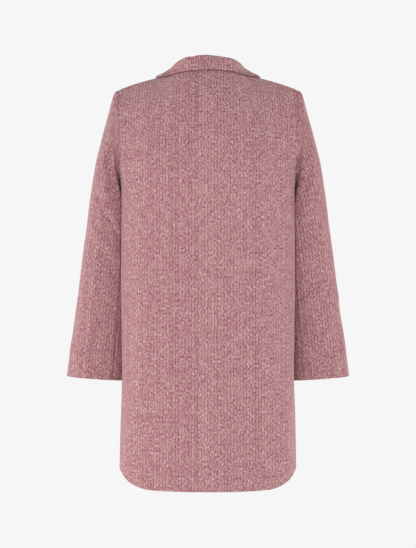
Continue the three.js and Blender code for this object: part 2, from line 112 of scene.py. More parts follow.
# the form that every piece lies on
shape = {
    "neckHalf": 79, "neckBack": 71, "shoulderX": 193, "shoulderY": -2, "underarmZ": -250,
    "hemZ": -884, "hemLift": 34, "hemLiftFrom": 0.46,
    "lap": 28, "breakZ": -330, "gorgeX": 66, "gorgeZ": -45,
    "underFrom": 58, "underBy": 30, "underDown": (0.6, 0.3),
    "squareBack": 2.45, "squareFront": 2.3, "sleeveClear": 0.5,
}
torso = table(
    "z half back front",
    (-250, 190, 129, 134),
    (-340, 190, 124, 140),
    (-450, 189.5, 122, 139),
    (-560, 188, 127, 138),
    (-670, 187, 134, 140),
    (-780, 190.5, 140, 143),
    (-884, 192.5, 145, 146),
)
ridge = table(
    "x z", (-40, 9), (0, 16), (40, 9), (79, -1.5), (110, -8), (141, -15.5), (170, -24.5), (193, -33.5),
)
columnWays = {
    "back": table(
        "across leaveX leaveY leaveZ arriveX arriveY arriveZ",
        (-0.2, -2, 76, 30, 0, 6, 162),
        (0, 0, 82, 37, 0, 6, 175),
        (0.2, 2, 76, 30, 0, 6, 162),
        (0.32, 4, 68, 17, 0, 6, 144),
        (0.42, 6, 60, 1, 1, 5, 120),
        (0.7, 4, 54, -24, 3, 10, 80),
        (0.86, 0, 54, -38, 3, 26, 60),
        (1, 0, 51, -56, 1, 73, 22),
    ),
    "front": table(
        "across leaveX leaveY leaveZ arriveX arriveY arriveZ",
        (0, -1, -46, -26, 28, 10, 84),
        (0.5, -6, -50, -34, 8, 2, 84),
        (0.8, -11, -52, -46, 1, -14, 70),
        (1, -15, -54, -60, -9, -86, 22),
    ),
}


def frontEdgeX(z):
    slope = (shape["gorgeX"] + shape["lap"]) / (shape["gorgeZ"] - shape["breakZ"])
    return -shape["lap"] + np.maximum(0, z - shape["breakZ"]) * slope


def torsoLines(z, name):
    half = read(torso, "z", z, "half")[:, None]
    deep = read(torso, "z", z, name)[:, None] * (1 if name == "back" else -1)
    power = 2 / (shape["squareBack"] if name == "back" else shape["squareFront"])
    start = np.zeros_like(half) if name == "back" else frontEdgeX(z)[:, None] / half
    first = np.sign(start) * np.arcsin(np.abs(start) ** (1 / power))
    turn = mix(first, math.pi / 2, np.linspace(0, 1, 300)[None, :])
    x = half * np.sign(turn) * np.abs(np.sin(turn)) ** power
    y = shape["shoulderY"] + deep * np.abs(np.cos(turn)) ** power
    return np.stack([x, y, np.broadcast_to(z[:, None], x.shape)], axis=-1)


def atShares(lines, shares):
    far = lengths(lines)
    return np.stack([
        np.stack([np.interp(shares * f[-1], f, line[:, k]) for k in range(3)], axis=-1)
        for line, f in zip(lines, far)
    ])


def topLine(name):
    start = 0 if name == "back" else shape["neckHalf"]
    x = np.linspace(start, shape["shoulderX"], 200)
    return np.stack([x, np.full_like(x, shape["shoulderY"]), read(ridge, "x", x, "z")], axis=-1)


def yokeGrid(name, shares, downs):
    start = atShares(topLine(name)[None], shares)[0]
    chestZ = np.array([float(shape["underarmZ"])])
    underarm = atShares(torsoLines(chestZ, name), shares)[0]
    ways = columnWays[name]
    leave, arrive = (
        np.stack([read(ways, "across", shares, way + k) for k in "XYZ"], axis=-1)
        for way in ("leave", "arrive")
    )

    def column(t):
        return bezier(start, start + leave, underarm + arrive, underarm, t[..., None])

    begin = np.zeros(len(shares))
    if name == "back":
        # the neck's opening is an ellipse seen from above; the columns start where they leave it
        def inside(t):
            p = column(t)
            deep = shape["neckBack"] - shape["shoulderY"]
            return (p[:, 0] / shape["neckHalf"]) ** 2 + ((p[:, 1] - shape["shoulderY"]) / deep) ** 2 < 1

        low, high = np.zeros(len(shares)), np.ones(len(shares))
        cut = inside(low + 0.001)
        for _ in range(24):
            middle = (low + high) / 2
            hit = inside(middle)
            low, high = np.where(hit, middle, low), np.where(hit, high, middle)
        begin = np.where(cut, low, 0)
    return np.stack([column(down + begin * (1 - down) ** 2) for down in downs])


def skirtGrid(name, shares, downs):
    lifted = over(shares, shape["hemLiftFrom"], 1 - shape["hemLiftFrom"])
    bottom = shape["hemZ"] + shape["hemLift"] * lifted
    levels = np.linspace(shape["hemZ"], shape["underarmZ"], 220)
    known = atShares(torsoLines(levels, name), shares)
    z = mix(shape["underarmZ"], bottom[None, :], (downs - 1)[:, None])
    grid = np.empty((len(downs), len(shares), 3))
    grid[..., 2] = z
    for j in range(len(shares)):
        for k in (0, 1):
            grid[:, j, k] = np.interp(z[:, j], levels, known[:, j, k])
    return grid


def bodyGrid(name, shares, downs, under=False):
    shares, downs = np.atleast_1d(shares).astype(float), np.atleast_1d(downs).astype(float)
    parts = []
    if (downs <= 1).any():
        parts.append(yokeGrid(name, shares, downs[downs <= 1]))
    if (downs > 1).any():
        parts.append(skirtGrid(name, shares, downs[downs > 1]))
    grid = np.concatenate(parts)
    if under:
        # the under front gives way to the upper one that laps over it
        give = (clothMm + layerMm) * ease((shape["underFrom"] - grid[..., 0]) / shape["underBy"])
        grid[..., 1] += give * over(downs, *shape["underDown"])[:, None]
    return grid


edgeDowns = np.linspace(0, 2, 1201)
edgeHeights = bodyGrid("front", [0], edgeDowns)[:, 0, 2]


def downAt(z):
    # how far down the front's edge a height is
    return float(np.interp(-z, -edgeHeights, edgeDowns))


def onFront(down, out, lift, under=False):
    # points of the front by their distance out from its edge, lifted off the cloth
    out, lift = np.atleast_1d(out), np.atleast_1d(lift)
    shares = np.linspace(0, 1, 61)
    rows = bodyGrid("front", shares, [max(down - 0.004, 0), down, min(down + 0.004, 2)], under)
    far = lengths(rows[1])[-1]
    here = atDistance(rows[1], out)
    held = np.clip(out, 1, far - 1)
    across = atDistance(rows[1], held + 1) - atDistance(rows[1], held - 1)
    share = np.clip(out / far, 0, 1)
    above, below = (atShares(rows[k : k + 1], share)[0] for k in (0, 2))
    normal = unit(np.cross(below - above, across))
    return here + normal * lift[..., None], normal


# from a grid of points to a piece of cloth
def gridNormals(grid):
    across = np.gradient(grid, axis=1)
    down = np.gradient(grid, axis=0)
    return unit(np.cross(across, down))


def flatPattern(grid, middleColumn, middleRow):
    # how the piece lies when cut: distances square to the grain and along it
    down = np.gradient(grid, axis=0)
    way = unit(down)
    step = np.diff(grid, axis=1)
    meanWay = unit(way[:, 1:] + way[:, :-1])
    square = step - (step * meanWay).sum(-1, keepdims=True) * meanWay
    u = np.concatenate([np.zeros((len(grid), 1)), np.cumsum(np.linalg.norm(square, axis=-1), axis=1)], axis=1)
    u -= u[:, middleColumn][:, None]
    v = -lengths(np.swapaxes(grid, 0, 1)).T
    v -= v[middleRow][None, :]
    return u, v


def lattice(u, v, size, seed):
    # smooth random values between -1 and 1, a knot every "size" millimetres
    knots = np.random.RandomState(seed).uniform(-1, 1, (61, 61))
    a, b = u / size, v / size
    i, j = np.floor(a).astype(int), np.floor(b).astype(int)
    s, t = ease(a - i), ease(b - j)

    def at(di, dj):
        return knots[(i + di) % 61, (j + dj) % 61]

    return mix(mix(at(0, 0), at(1, 0), s), mix(at(0, 1), at(1, 1), s), t)


def crease(u, v, row):
    # one soft ridge (high > 0) or trough, on a bowed line from (fromU, fromV) to (toU, toV)
    ax, ay, bx, by, wide, high, bow = row
    dx, dy = bx - ax, by - ay
    size = math.hypot(dx, dy)
    t = np.clip(((u - ax) * dx + (v - ay) * dy) / size**2, 0, 1)
    lean = bow * 4 * t * (1 - t)
    offU, offV = u - (ax + dx * t - dy / size * lean), v - (ay + dy * t + dx / size * lean)
    aside = (offU * -dy + offV * dx) / size
    beyond = (offU * dx + offV * dy) / size
    fade = 0.35 + 0.65 * np.sin(math.pi * np.clip(t, 0.02, 0.98)) ** 0.7
    return high * fade * bulge(aside, 0, wide) * bulge(beyond, 0, 2 * wide)


def relief(u, v, rows, seed, rough):
    total = np.zeros_like(u)
    for row in rows:
        total += crease(u, v, row)
    return total + rough * (0.55 * lattice(u, v, 74, seed) + 0.28 * lattice(u, v, 31, seed + 1))


# distances from an edge where the cloth's rows and columns lie close, to draw the edge's own shape
closeLines = [0, 0.25, 0.7, 1.3, 2.1, 3.2, 4.8]


def closeShares(total, step):
    # shares of a length: at the close lines by each end, and even between them
    last = closeLines[-1]
    middle = np.linspace(last, total - last, max(int((total - 2 * last) / step), 2) + 1)
    near = np.array(closeLines[:-1])
    return np.unique(np.concatenate([near, middle, total - near[::-1]]) / total)


hems = {"turnedBy": 1.6, "body": 38, "sleeve": 45, "sewnOver": 3}

edges = {
    # how far the cloth rounds off at each kind of edge, how deep its outer face dips, and the puff beside it
    "seam": {"reach": 2.6, "dip": 0.75, "puff": 0.38, "pucker": 0.16},
    "armhole": {"reach": 2.8, "dip": 0.6, "puff": 0.45, "pucker": 0.16},
}
besideSeam = {"puffAt": 5.5, "puffWide": 3.2, "puckerLong": 6.5, "puckerIn": 7, "innerDip": 0.6}


def toEdges(grid):
    along, down = lengths(grid), lengths(np.swapaxes(grid, 0, 1)).T
    return {"left": along, "right": along[:, -1:] - along, "top": down, "bottom": down[-1:] - down}


def shell(name, grid, facing, kinds, uv, thick, hemWide, seed):
    # a closed sheet: outer face, inner face and the edges between them
    normals = gridNormals(grid) * facing
    far = toEdges(grid)
    outer = np.zeros(grid.shape[:2])
    inner = np.full(grid.shape[:2], float(thick))
    for side, kind in kinds.items():
        if kind == "fold" and hemWide and side == "bottom":
            inner += hems["turnedBy"] * ease((hemWide - far[side]) / hems["sewnOver"])
    for side, kind in kinds.items():
        d = far[side]
        if kind == "fold":
            radius = inner / 2
            inside = np.clip(1 - d / radius, 0, 1)
            pinch = radius * 0.94 * (1 - np.sqrt(1 - inside**2))
            outer, inner = outer - pinch, inner - pinch
        else:
            e = edges[kind]
            fall = (1 - ease(d / e["reach"])) * e["dip"]
            puff = e["puff"] * bulge(d, besideSeam["puffAt"], besideSeam["puffWide"])
            run = far["top"] if side in ("left", "right") else far["left"]
            pucker = e["pucker"] * lattice(run, d * 0.4, besideSeam["puckerLong"], seed + 11)
            outer = outer - fall + puff + pucker * np.exp(-d / besideSeam["puckerIn"])
            inner = inner - besideSeam["innerDip"] * fall
    rows, columns = grid.shape[:2]
    drawn = grid.copy()
    ends = {
        "left": (np.s_[:, 0], np.s_[:, 1]), "right": (np.s_[:, -1], np.s_[:, -2]),
        "top": (0, 1), "bottom": (-1, -2),
    }
    for side, kind in kinds.items():
        if kind != "fold":
            # a hair's breadth between neighbouring pieces
            rim, inward = ends[side]
            drawn[rim] += unit(grid[inward] - grid[rim]) * seamGap
    outside = drawn + normals * outer[..., None]
    within = drawn - normals * inner[..., None]
    points = np.concatenate([outside.reshape(-1, 3), within.reshape(-1, 3)]) / 1000
    index = np.arange(rows * columns).reshape(rows, columns)
    under = index + rows * columns
    faces = np.concatenate([np.stack([corner.ravel() for corner in four], axis=-1) for four in (
        (index[:-1, :-1], index[:-1, 1:], index[1:, 1:], index[1:, :-1]),
        (under[:-1, :-1], under[1:, :-1], under[1:, 1:], under[:-1, 1:]),
        (under[0, :-1], under[0, 1:], index[0, 1:], index[0, :-1]),
        (index[-1, :-1], index[-1, 1:], under[-1, 1:], under[-1, :-1]),
        (index[:-1, 0], index[1:, 0], under[1:, 0], under[:-1, 0]),
        (under[:-1, -1], under[1:, -1], index[1:, -1], index[:-1, -1]),
    )])
    if facing < 0:
        faces = faces[:, ::-1]
    u, v = uv
    flat = np.stack([u, v], axis=-1).reshape(-1, 2) / 1000
    return newMesh(name, points, faces, np.concatenate([flat, flat]))


def newMesh(name, points, faces, flat=None):
    mesh = bpy.data.meshes.new(name)
    mesh.from_pydata(np.asarray(points).tolist(), [], [tuple(map(int, face)) for face in faces])
    if flat is not None:
        layer = mesh.uv_layers.new(name="cloth")
        loops = np.empty(len(mesh.loops), np.int32)
        mesh.loops.foreach_get("vertex_index", loops)
        layer.data.foreach_set("uv", flat[loops].astype(np.float32).ravel())
    mesh.polygons.foreach_set("use_smooth", [True] * len(mesh.polygons))
    mesh.update()
    piece = bpy.data.objects.new(name, mesh)
    bpy.context.scene.collection.objects.link(piece)
    return piece


toRight = np.array([-1.0, 1.0, 1.0])


def toSide(grid, side):
    return grid if side == "left" else grid * toRight


def nodesOf(name):
    look = bpy.data.materials.new(name)
    look.use_nodes = True
    tree = look.node_tree
    tree.nodes.clear()
    out = tree.nodes.new("ShaderNodeOutputMaterial")
    shader = tree.nodes.new("ShaderNodeBsdfPrincipled")
    tree.links.new(shader.outputs[0], out.inputs["Surface"])
    return look, tree, shader


def plug(tree, socket, value):
    if isinstance(value, bpy.types.NodeSocket):
        tree.links.new(value, socket)
    else:
        socket.default_value = value


def dial(node, values):
    for key, value in values.items():
        node.inputs[key].default_value = value


def bumped(tree, shader, height, strength, distance):
    bump = tree.nodes.new("ShaderNodeBump")
    dial(bump, {"Strength": strength, "Distance": distance})
    tree.links.new(height, bump.inputs["Height"])
    tree.links.new(bump.outputs[0], shader.inputs["Normal"])


def shifted(tree, vector, values):
    node = tree.nodes.new("ShaderNodeMapping")
    dial(node, values)
    tree.links.new(vector, node.inputs["Vector"])
    return node.outputs[0]


def ownPlace(tree):
    return tree.nodes.new("ShaderNodeTexCoord").outputs["Object"]


def combine(tree, x, y, z=0.0):
    node = tree.nodes.new("ShaderNodeCombineXYZ")
    for k, value in enumerate((x, y, z)):
        plug(tree, node.inputs[k], value)
    return node.outputs[0]


def cloudy(tree, vector, scale, detail=2.0, rough=0.5):
    node = tree.nodes.new("ShaderNodeTexNoise")
    plug(tree, node.inputs["Vector"], vector)
    dial(node, {"Scale": scale, "Detail": detail, "Roughness": rough})
    return node.outputs[0]


def ramped(tree, shader, value, stops, into="Base Color"):
    node = tree.nodes.new("ShaderNodeValToRGB")
    while len(node.color_ramp.elements) < len(stops):
        node.color_ramp.elements.new(0.5)
    for element, (at, colour) in zip(node.color_ramp.elements, stops):
        element.position = at
        element.color = (*colour, 1)
    tree.links.new(value, node.inputs[0])
    tree.links.new(node.outputs[0], shader.inputs[into])


def linear(r, g, b):
    return tuple((c / 255 / 12.92) if c <= 10 else ((c / 255 + 0.055) / 1.055) ** 2.4 for c in (r, g, b))


def chance(tree, value):
    # an even random value from 0 to 1 for each whole number
    node = tree.nodes.new("ShaderNodeTexWhiteNoise")
    node.noise_dimensions = "1D"
    plug(tree, node.inputs["W"], value)
    return node.outputs[0]


weave = {
    "yarn": 0.00096, "yarnsInStripe": 7, "floatOver": 4,
    "wander": 0.0011, "wanderOften": 24,
    # tones run from 0, wine, to 1, cream: each yarn's own, and how far each of the others moves it; the
    # turn's move is painted shade and the odd stripes' move is painted sheen
    "warpTone": 0.60, "weftTone": 0.40, "slub": 0.80, "slubLong": 0.0052, "yarnTone": 0.05,
    "stripeTone": 0.05, "turnPaintedShade": 0.22, "oddPaintedSheen": 0.012,
    "longFlecks": 1.15, "longFleckOften": (420.0, 200.0), "roundFlecks": 0.8, "roundFleckOften": 520,
    "cloudTone": 0.35, "cloudOften": (62.0, 40.0),
    "wine": (102, 42, 59), "raspberry": (145, 83, 94), "rose": (177, 143, 142), "cream": (207, 198, 190),
    "relief": 0.00030, "bump": 0.55, "fuzz": 0.45, "fuzzOften": 2600,
    "surface": {
        "Roughness": 0.92, "Specular IOR Level": 0.22,
        "Sheen Weight": 0.14, "Sheen Roughness": 0.45, "Sheen Tint": (1.0, 0.86, 0.86, 1),
    },
}


def herringbone(name, shift):
    look, tree, shader = nodesOf(name)
    stripeYarns, floatOver = float(weave["yarnsInStripe"]), float(weave["floatOver"])

    def do(kind, *values):
        node = tree.nodes.new("ShaderNodeMath")
        node.operation = kind
        for k, value in enumerate(values):
            plug(tree, node.inputs[k], value)
        return node.outputs[0]

    def swayed(base, noise, by):
        # moved by a noise around its middle
        return do("MULTIPLY_ADD", do("SUBTRACT", noise, 0.5), by, base)

    def onTop(warp, weft):
        return do("ADD", do("MULTIPLY", do("SUBTRACT", warp, weft), warpUp), weft)

    def stretched(often):
        return combine(tree, *(do("MULTIPLY", flatPlace.outputs[k], often[k]) for k in (0, 1)))

    def crownOf(place):
        # a round yarn is highest along its middle
        return do("SUBTRACT", 1.0, do("POWER", do("ABSOLUTE", do("MULTIPLY_ADD", place, 2.0, -1.0)), 2.0))

    flat = tree.nodes.new("ShaderNodeUVMap")
    flat.uv_map = "cloth"
    moved = shifted(tree, flat.outputs[0], {"Location": (shift, shift * 1.7, 0)})
    flatPlace = tree.nodes.new("ShaderNodeSeparateXYZ")
    tree.links.new(moved, flatPlace.inputs[0])
    # the yarns wander a little, so that no stripe is ruled
    wander = do("SUBTRACT", cloudy(tree, moved, weave["wanderOften"], 2), 0.5)
    across = do("MULTIPLY_ADD", wander, weave["wander"] * 2, flatPlace.outputs[0])
    along = do("MULTIPLY_ADD", wander, weave["wander"], flatPlace.outputs[1])
    a, b = do("DIVIDE", across, weave["yarn"]), do("DIVIDE", along, weave["yarn"])
    i, j = do("FLOOR", a), do("FLOOR", b)
    inA, inB = do("SUBTRACT", a, i), do("SUBTRACT", b, j)
    stripe = do("FLOOR", do("DIVIDE", i, stripeYarns))
    zigzag = do("PINGPONG", do("ADD", i, 0.5), stripeYarns)
    odd = do("FLOORED_MODULO", stripe, 2.0)
    step = do("ADD", do("ADD", j, zigzag), do("MULTIPLY", odd, 2.0))
    warpUp = do("LESS_THAN", do("FLOORED_MODULO", step, floatOver), floatOver / 2)
    # each yarn is thick and thin, dark and light along its length
    slubs = 1 / weave["slubLong"]
    warpPlace = combine(tree, do("MULTIPLY", i, 7.31), do("MULTIPLY", along, slubs))
    weftPlace = combine(tree, do("MULTIPLY", across, slubs), do("MULTIPLY", j, 5.17), 3.0)
    warpTone = swayed(weave["warpTone"], cloudy(tree, warpPlace, 1, 3, 0.62), weave["slub"])
    weftTone = swayed(weave["weftTone"], cloudy(tree, weftPlace, 1, 3, 0.62), weave["slub"])
    tone = onTop(warpTone, weftTone)
    tone = swayed(tone, chance(tree, i), weave["yarnTone"])
    tone = swayed(tone, chance(tree, do("ADD", stripe, 0.37)), weave["stripeTone"])
    # the yarn at each turn of the zigzag sits deeper and is painted darker, a painted shade; every other
    # stripe is painted slightly darker, a painted sheen from the twill's lean catching less light
    shadedTurn = do("LESS_THAN", do("FLOORED_MODULO", i, stripeYarns), 1.0)
    tone = do("MULTIPLY_ADD", shadedTurn, -weave["turnPaintedShade"], tone)
    tone = do("MULTIPLY_ADD", odd, -weave["oddPaintedSheen"], tone)
    # flecks of paler and darker wool, some drawn out along the warp, and broad soft clouds
    longFlecks = cloudy(tree, stretched(weave["longFleckOften"]), 1, 1, 0.5)
    roundFlecks = cloudy(tree, moved, weave["roundFleckOften"], 1, 0.5)
    clouds = cloudy(tree, stretched(weave["cloudOften"]), 1, 3, 0.68)
    for key, noise in (("longFlecks", longFlecks), ("roundFlecks", roundFlecks), ("cloudTone", clouds)):
        tone = swayed(tone, noise, weave[key])
    wools = zip((0.05, 0.34, 0.66, 0.95), ("wine", "raspberry", "rose", "cream"))
    ramped(tree, shader, tone, [(at, linear(*weave[wool])) for at, wool in wools])
    fuzz = cloudy(tree, moved, weave["fuzzOften"], 2, 0.6)
    height = do("MULTIPLY_ADD", fuzz, weave["fuzz"], onTop(crownOf(inA), crownOf(inB)))
    bumped(tree, shader, height, weave["bump"], weave["relief"])
    dial(shader, weave["surface"])
    return look


def place(piece, node, look, slot):
    piece.data.materials.append(look)
    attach(piece, "root")
    if node:
        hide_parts(node)


def sew(node, look, grid, facing, kinds, uv, thick, hemWide=0, seed=0, held="hung", restsOn=()):
    # one cut piece in its place, with the size it was cut to
    piece = shell(f"coat_{node}", grid, facing, kinds, uv, thick, hemWide, seed)
    place(piece, node, look, "herringbone")


def sewSide(part, side, look, grid, facing, kinds, uv, thick, **more):
    # a piece drawn for the left side, or its mirror image for the right
    way = 1 if side == "left" else -1
    u, v = uv
    sew(f"{part}_{side}", look, toSide(grid, side), facing * way, kinds, (u * way, v), thick, **more)


# rows down a body sheet: the lengths of its two stretches, and where the even rows begin and end in them
rowsDown = {"yokeLong": 300, "skirtLong": 634, "firstEven": 0.018, "lastEven": 0.0085, "skirt": 146}


def downRows(yokeRows):
    near = np.array(closeLines)
    return np.unique(np.concatenate([
        near / rowsDown["yokeLong"], np.linspace(rowsDown["firstEven"], 1, yokeRows),
        1 + np.linspace(0, 1 - rowsDown["lastEven"], rowsDown["skirt"])[1:], 2 - near / rowsDown["skirtLong"],
    ]))


# beside the sleeves the body has no room to stand proud: where that begins, and over how far it comes in
besideSleeve = {"outward": (168, 14), "under": (-205, -25), "above": (-700, 30), "proud": 0.1}


def clearSides(high, grid):
    beside = over(np.abs(grid[..., 0]), *besideSleeve["outward"])
    beside = beside * over(grid[..., 2], *besideSleeve["above"]) * over(grid[..., 2], *besideSleeve["under"])
    return mix(high, np.minimum(high, besideSleeve["proud"]), beside)


back = {
    "rough": 1.0, "yokeRows": 74, "halfWide": 175, "neckColumns": 25, "shoulderColumns": 38,
    # fromU, fromV, toU, toV, wide, high, bow: from the centre back and the underarm line
    "creases": [
        (78, 118, 96, 10, 46, 3.2, 8), (-82, 112, -92, 4, 46, 3.0, -8), (150, 110, 138, -30, 17, -2.0, 6),
        (-148, 104, -136, -44, 18, -2.2, -6), (194, 150, 198, 20, 14, 3.2, 2),
        (-194, 144, -198, 30, 13, 2.8, -2), (-66, 80, -68, -40, 7, 0.8, 2), (118, 60, 121, -10, 6, 0.7, 2),
        (22, 40, 14, -120, 12, -0.7, 4), (170, -30, 196, -330, 20, -1.6, 10),
        (-176, -40, -192, -300, 21, -1.8, -9), (128, -90, 150, -420, 24, 1.5, -8),
        (-120, -130, -146, -470, 26, 1.7, 7), (60, -220, 74, -600, 30, -1.6, 10),
        (-52, -260, -78, -610, 34, -1.9, -8), (10, -330, -6, -634, 34, 1.5, 6),
        (120, -470, 132, -634, 26, -2.0, 4), (-132, -450, -128, -634, 28, -2.3, 5),
        (176, -440, 186, -600, 20, 2.0, 3), (-180, -420, -182, -600, 20, 2.2, -4),
        (206, -500, 214, -600, 12, -1.4, 2), (-208, -470, -216, -600, 13, -1.6, 2),
        (-20, -30, 62, -52, 14, -0.8, 5), (-96, -210, -18, -226, 16, -0.7, -5),
        (150, -236, 96, -262, 13, -0.8, 4),
    ],
    # a soft roll of cloth beside each armhole: distance from the seam, wide, high, fromV, toV
    "rolls": {"right": (6, 4, 1.9, 120, -40), "left": (6, 3.6, 1.7, 110, -30)},
}
# where along the back's top edge the neck ends and the shoulder seam begins
cornerShare = 1 - lengths(topLine("front"))[-1] / lengths(topLine("back"))[-1]


def makeBack(look):
    half = np.unique(np.concatenate([
        np.linspace(0, cornerShare, back["neckColumns"]),
        np.linspace(cornerShare, 0.98, back["shoulderColumns"]),
        cornerShare + (1 - cornerShare) * (1 - np.array(closeLines) / back["halfWide"]),
    ]))
    downs = downRows(back["yokeRows"])
    part = bodyGrid("back", half, downs)
    grid = np.concatenate([toSide(part, "right")[:, :0:-1], part], axis=1)
    middle = len(half) - 1
    u, v = flatPattern(grid, middle, int(np.argmin(np.abs(downs - 1))))
    far = toEdges(grid)
    soft = ease(np.minimum(far["left"], far["right"]) / 16) * ease(far["top"] / 22)
    high = relief(u, v, back["creases"], 3, back["rough"]) * soft
    for side, (at, wide, tall, fromV, toV) in back["rolls"].items():
        length = over(v, fromV, -40) * over(v, toV, 90)
        high += tall * bulge(far[side], at, wide) * length * ease(far["top"] / 30)
    high = clearSides(high, grid)
    grid = grid + gridNormals(grid) * high[..., None]
    kinds = {"left": "seam", "right": "seam", "top": "seam", "bottom": "fold"}
    sew("back", look, grid, 1, kinds, (u, v), clothMm, hems["body"], seed=5)


front = {
    "rough": 1.0, "yokeRows": 70, "wide": 262, "step": 4.2,
    # smooth where the fronts lap, and further out beside the lapel: where the folds begin, and how softly
    "lapped": (62, 30), "underLapel": (104, 24), "lapelFoot": (-90, 50),
    # from the front edge and the underarm line
    "creases": [
        (210, -20, 232, -330, 18, -1.8, 8), (150, -60, 170, -400, 26, 1.8, -8),
        (176, 60, 120, -40, 22, -1.8, 9), (104, -160, 124, -560, 30, -1.8, 9),
        (66, -200, 60, -600, 26, 1.2, 5), (196, -400, 206, -600, 20, 1.9, 4),
        (160, -430, 156, -600, 22, -1.9, 5), (60, 140, 92, 10, 34, 2.2, -8),
        (88, -90, 180, -120, 18, -1.0, 8), (228, -440, 226, -600, 14, -1.3, 3),
        (30, -330, 34, -600, 16, -0.8, 3),
    ],
}


def makeFront(side, look):
    under = side == "left"
    shares = closeShares(front["wide"], front["step"])
    downs = downRows(front["yokeRows"])
    base = bodyGrid("front", shares, downs, under)
    u, v = flatPattern(base, 0, int(np.argmin(np.abs(downs - 1))))
    far = toEdges(base)
    lapel = mix(1, over(far["left"], *front["underLapel"]), over(v, *front["lapelFoot"]))
    covered = over(far["left"], *front["lapped"]) * lapel
    soft = ease(far["right"] / 16) * ease(far["top"] / 22) * covered
    high = clearSides(relief(u, v, front["creases"], 21 if under else 34, front["rough"]) * soft, base)
    base = base - gridNormals(base) * high[..., None]
    kinds = {"left": "fold", "right": "seam", "top": "seam", "bottom": "fold"}
    sewSide("front", side, look, base, -1, kinds, (u, v), clothMm, hemWide=hems["body"], seed=7)


sleeveForm = table(
    "along outX outZ inX inZ midY deep square slope",
    (0, 193, -34, 190, -250, -2, 62, 2, 0),
    (0.03, 202, -39, 192.5, -252, -2, 60, 2, 0),
    (0.07, 209, -54, 193.5, -256, -3, 60, 2.2, 0),
    (0.12, 216, -80, 192, -262, -5, 61, 2.3, 3),
    (0.2, 229, -128, 184, -278, -8, 63, 2.5, 14),
    (0.3, 244, -192, 174, -308, -13, 66, 2.9, 24),
    (0.4, 256, -262, 168, -348, -21, 69, 3.1, 24),
    (0.51, 267, -337, 168, -402, -33, 69, 3.1, 20),
    (0.63, 279, -417, 170, -462, -43, 65, 3, 14),
    (0.75, 291, -502, 174, -532, -49, 58, 2.9, 10),
    (0.87, 303, -582, 179, -602, -53, 51, 2.85, 6),
    (1, 314, -662, 185, -672, -56, 44, 2.85, 4),
)
sleeves = {
    # seams in degrees round from the outer line, back positive
    "backSeam": 120, "frontSeam": 260, "perDegree": 1.12, "long": 655, "step": 4.0,
    "wide": {"top": 245, "under": 140}, "grainAt": {"top": 20, "under": 200},
    # folds stand less along the outer line, which hangs clean
    "creased": 1.5, "rough": 1.0, "clean": 0.6, "cleanWide": 30,
    "full": 0.9, "fullIn": 13, "headTurn": 70, "joinedBy": 0.35,
}
# round (mm from the outer line, back positive) and along (mm from the armhole, down negative), from and to,
# then how wide and high each fold is and how far it bows
sleeveFolds = {
    "left": [
        (104, -24, 126, -190, 20, 2.4, 5), (70, -130, 104, -250, 12, 1.6, -4),
        (48, -236, 120, -300, 9, -1.7, 5), (36, -300, 112, -338, 9, 1.5, -4),
        (30, -352, 118, -372, 9, -1.8, 6), (52, -404, 124, -436, 9, 1.4, -5),
        (20, -470, 96, -500, 10, -1.4, 5), (8, -560, 70, -540, 9, -1.3, 4), (0, -590, 86, -606, 13, 1.5, 3),
        (-60, -300, 10, -330, 11, -1.5, 4), (-80, -360, -10, -392, 10, 1.4, -4),
        (-70, -210, -20, -120, 15, -1.6, 4), (-96, -420, -30, -452, 11, -1.5, 4),
        (140, -280, 172, -420, 12, -1.6, 4), (-56, -520, 0, -560, 12, 1.2, 4),
    ],
    "right": [
        (100, -20, 124, -196, 21, 2.2, -5), (60, -150, 100, -262, 12, 1.6, 4),
        (40, -250, 118, -290, 9, -1.5, -5), (50, -312, 122, -352, 10, 1.7, 5),
        (34, -372, 116, -398, 9, -1.6, -5), (60, -430, 120, -470, 10, 1.4, 4),
        (14, -508, 84, -566, 14, -2.4, -6), (0, -470, 70, -500, 11, 1.5, 4),
        (20, -590, 92, -612, 12, 1.7, -3), (-64, -290, 6, -316, 11, -1.5, 4),
        (-84, -350, -8, -380, 10, 1.4, -4), (-72, -200, -24, -116, 15, -1.6, 4),
        (-92, -410, -26, -446, 11, -1.6, 4), (144, -270, 170, -400, 12, -1.6, 4),
        (-50, -530, 4, -566, 12, 1.2, 4),
    ],
}
ringTurns = np.linspace(0, 1, 181)
ring = np.concatenate([
    bodyGrid("back", [1], ringTurns)[:, 0], bodyGrid("front", [1], ringTurns)[::-1, 0][1:],
])


def sectionPoints(along, turns):
    row = {key: read(sleeveForm, "along", along, key)[:, None] for key in list(sleeveForm)[1:]}
    turn = np.radians(turns)[None, :]
    inward, back = (
        np.sign(way) * np.abs(way) ** (2 / row["square"]) for way in (-np.cos(turn), np.sin(turn))
    )
    t = (1 + inward) / 2
    y = row["midY"] + row["deep"] * back - row["slope"] * t**2 * np.maximum(back, 0)
    return np.stack([mix(row["outX"], row["inX"], t), y, mix(row["outZ"], row["inZ"], t)], axis=-1)


def keptClear(grid, along):
    # the sleeve hangs just clear of the coat's side
    gap = np.minimum(shape["sleeveClear"], 0.4 + along * 3)[:, None]
    z = grid[..., 2]
    behind = grid[..., 1] > shape["shoulderY"]
    deep = np.where(behind, read(torso, "z", z, "back"), read(torso, "z", z, "front")) + gap
    power = np.where(behind, shape["squareBack"], shape["squareFront"])
    share = np.minimum(1, np.abs(grid[..., 1] - shape["shoulderY"]) / deep)
    side = (read(torso, "z", z, "half") + gap) * (1 - share**power) ** (1 / power)
    grid = grid.copy()
    grid[..., 0] = np.where(z < shape["underarmZ"] + 4, np.maximum(grid[..., 0], side), grid[..., 0])
    return grid


def sleeveGrid(turns, along):
    wrapped = np.mod(turns, 360)
    degrees = np.linspace(0, 360, len(ring))
    seam = np.stack([np.interp(wrapped, degrees, ring[:, k]) for k in range(3)], axis=-1)
    shift = seam[None] - sectionPoints(np.array([0.0]), turns)
    grid = sectionPoints(along, turns) + shift * (1 - ease(along / sleeves["joinedBy"]))[:, None, None]
    return keptClear(grid, along)


